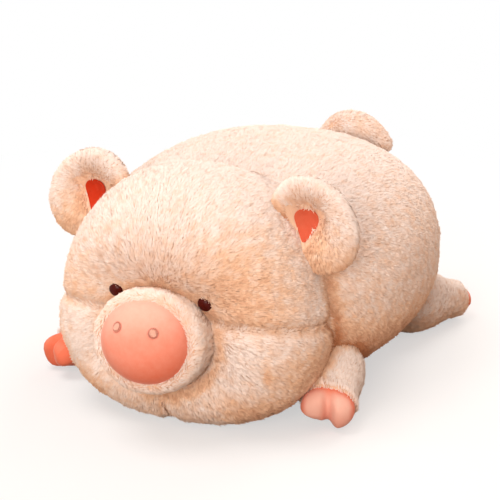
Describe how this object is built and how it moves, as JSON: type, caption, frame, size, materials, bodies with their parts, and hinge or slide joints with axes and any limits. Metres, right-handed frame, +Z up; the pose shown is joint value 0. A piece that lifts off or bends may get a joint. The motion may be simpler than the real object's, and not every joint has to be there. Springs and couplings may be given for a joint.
{
  "type": "plush pig",
  "caption": "Soft stuffed pig lying on its belly, with a wide body, domed snout in a fur band, cupped ears, cloven velour hooves and a curled tail.",
  "frame": {"origin": "middle of the flat on which the belly rests, at the height of the surface below it", "axes": "+Z up, the snout towards -Y, the pig's left side towards +X"},
  "size_m": [0.3944, 0.5307, 0.2697],
  "materials": {
    "cream_fur": "short brushed pile",
    "pink_velour": "sheared velour",
    "coral_velour": "sheared velour",
    "maroon_gloss": "moulded, polished",
    "pink_thread": "satin stitch",
    "white_filling": "loose fibre filling",
    "white_washer": "moulded, satin"
  },
  "bodies": {
    "torso": {"head_top_panel": "cream_fur", "cheek_panel_left": "cream_fur", "cheek_panel_right": "cream_fur", "head_stuffing": "white_filling", "body_panel_left": "cream_fur", "body_panel_right": "cream_fur", "belly_panel": "cream_fur", "body_stuffing": "white_filling", "muzzle_band": "cream_fur", "muzzle_stuffing": "white_filling", "snout_disc": "pink_velour", "nostril_left": "pink_thread", "nostril_right": "pink_thread", "eye_left": "maroon_gloss", "eye_right": "maroon_gloss", "eye_washer_left": "white_washer", "eye_washer_right": "white_washer"},
    "foreleg_left": {"foreleg_left": "cream_fur", "foreleg_left_stuffing": "white_filling", "fore_hoof_left": "pink_velour"},
    "foreleg_right": {"foreleg_right": "cream_fur", "foreleg_right_stuffing": "white_filling", "fore_hoof_right": "pink_velour"},
    "hind_leg_left": {"hind_leg_left": "cream_fur", "hind_leg_left_stuffing": "white_filling", "hind_hoof_left": "pink_velour"},
    "hind_leg_right": {"hind_leg_right": "cream_fur", "hind_leg_right_stuffing": "white_filling", "hind_hoof_right": "pink_velour"},
    "ear_left": {"ear_left": "cream_fur", "ear_lining_left": "coral_velour"},
    "ear_right": {"ear_right": "cream_fur", "ear_lining_right": "coral_velour"},
    "tail": {"tail": "cream_fur", "tail_stuffing": "white_filling"}
  },
  "joints": [
    {"name": "foreleg_left_swing", "type": "hinge", "parent": "torso", "child": "foreleg_left", "pos_m": [0.1309, -0.12083, 0.0393], "axis": [0, 0, 1], "range_deg": [0, 25], "stiffness_Nm_per_rad": 0.3},
    {"name": "hind_leg_left_swing", "type": "hinge", "parent": "torso", "child": "hind_leg_left", "pos_m": [0.13321, 0.12001, 0.0383], "axis": [0, 0, -1], "range_deg": [0, 25], "stiffness_Nm_per_rad": 0.3},
    {"name": "ear_left_fold", "type": "hinge", "parent": "torso", "child": "ear_left", "pos_m": [0.11368, -0.165, 0.204], "axis": [0.6198, 0, -0.7848], "range_deg": [-22, 22], "stiffness_Nm_per_rad": 0.08},
    {"name": "foreleg_right_swing", "type": "hinge", "parent": "torso", "child": "foreleg_right", "pos_m": [-0.1309, -0.12083, 0.0393], "axis": [0, 0, -1], "range_deg": [0, 25], "stiffness_Nm_per_rad": 0.3},
    {"name": "hind_leg_right_swing", "type": "hinge", "parent": "torso", "child": "hind_leg_right", "pos_m": [-0.13321, 0.12001, 0.0383], "axis": [0, 0, 1], "range_deg": [0, 25], "stiffness_Nm_per_rad": 0.3},
    {"name": "ear_right_fold", "type": "hinge", "parent": "torso", "child": "ear_right", "pos_m": [-0.11368, -0.165, 0.204], "axis": [0.6198, 0, 0.7848], "range_deg": [-22, 22], "stiffness_Nm_per_rad": 0.08},
    {"name": "tail_tip", "type": "hinge", "parent": "torso", "child": "tail", "pos_m": [0, 0.18022, 0.20119], "axis": [-1, 0, 0], "range_deg": [-10, 30], "stiffness_Nm_per_rad": 0.08}
  ]
}
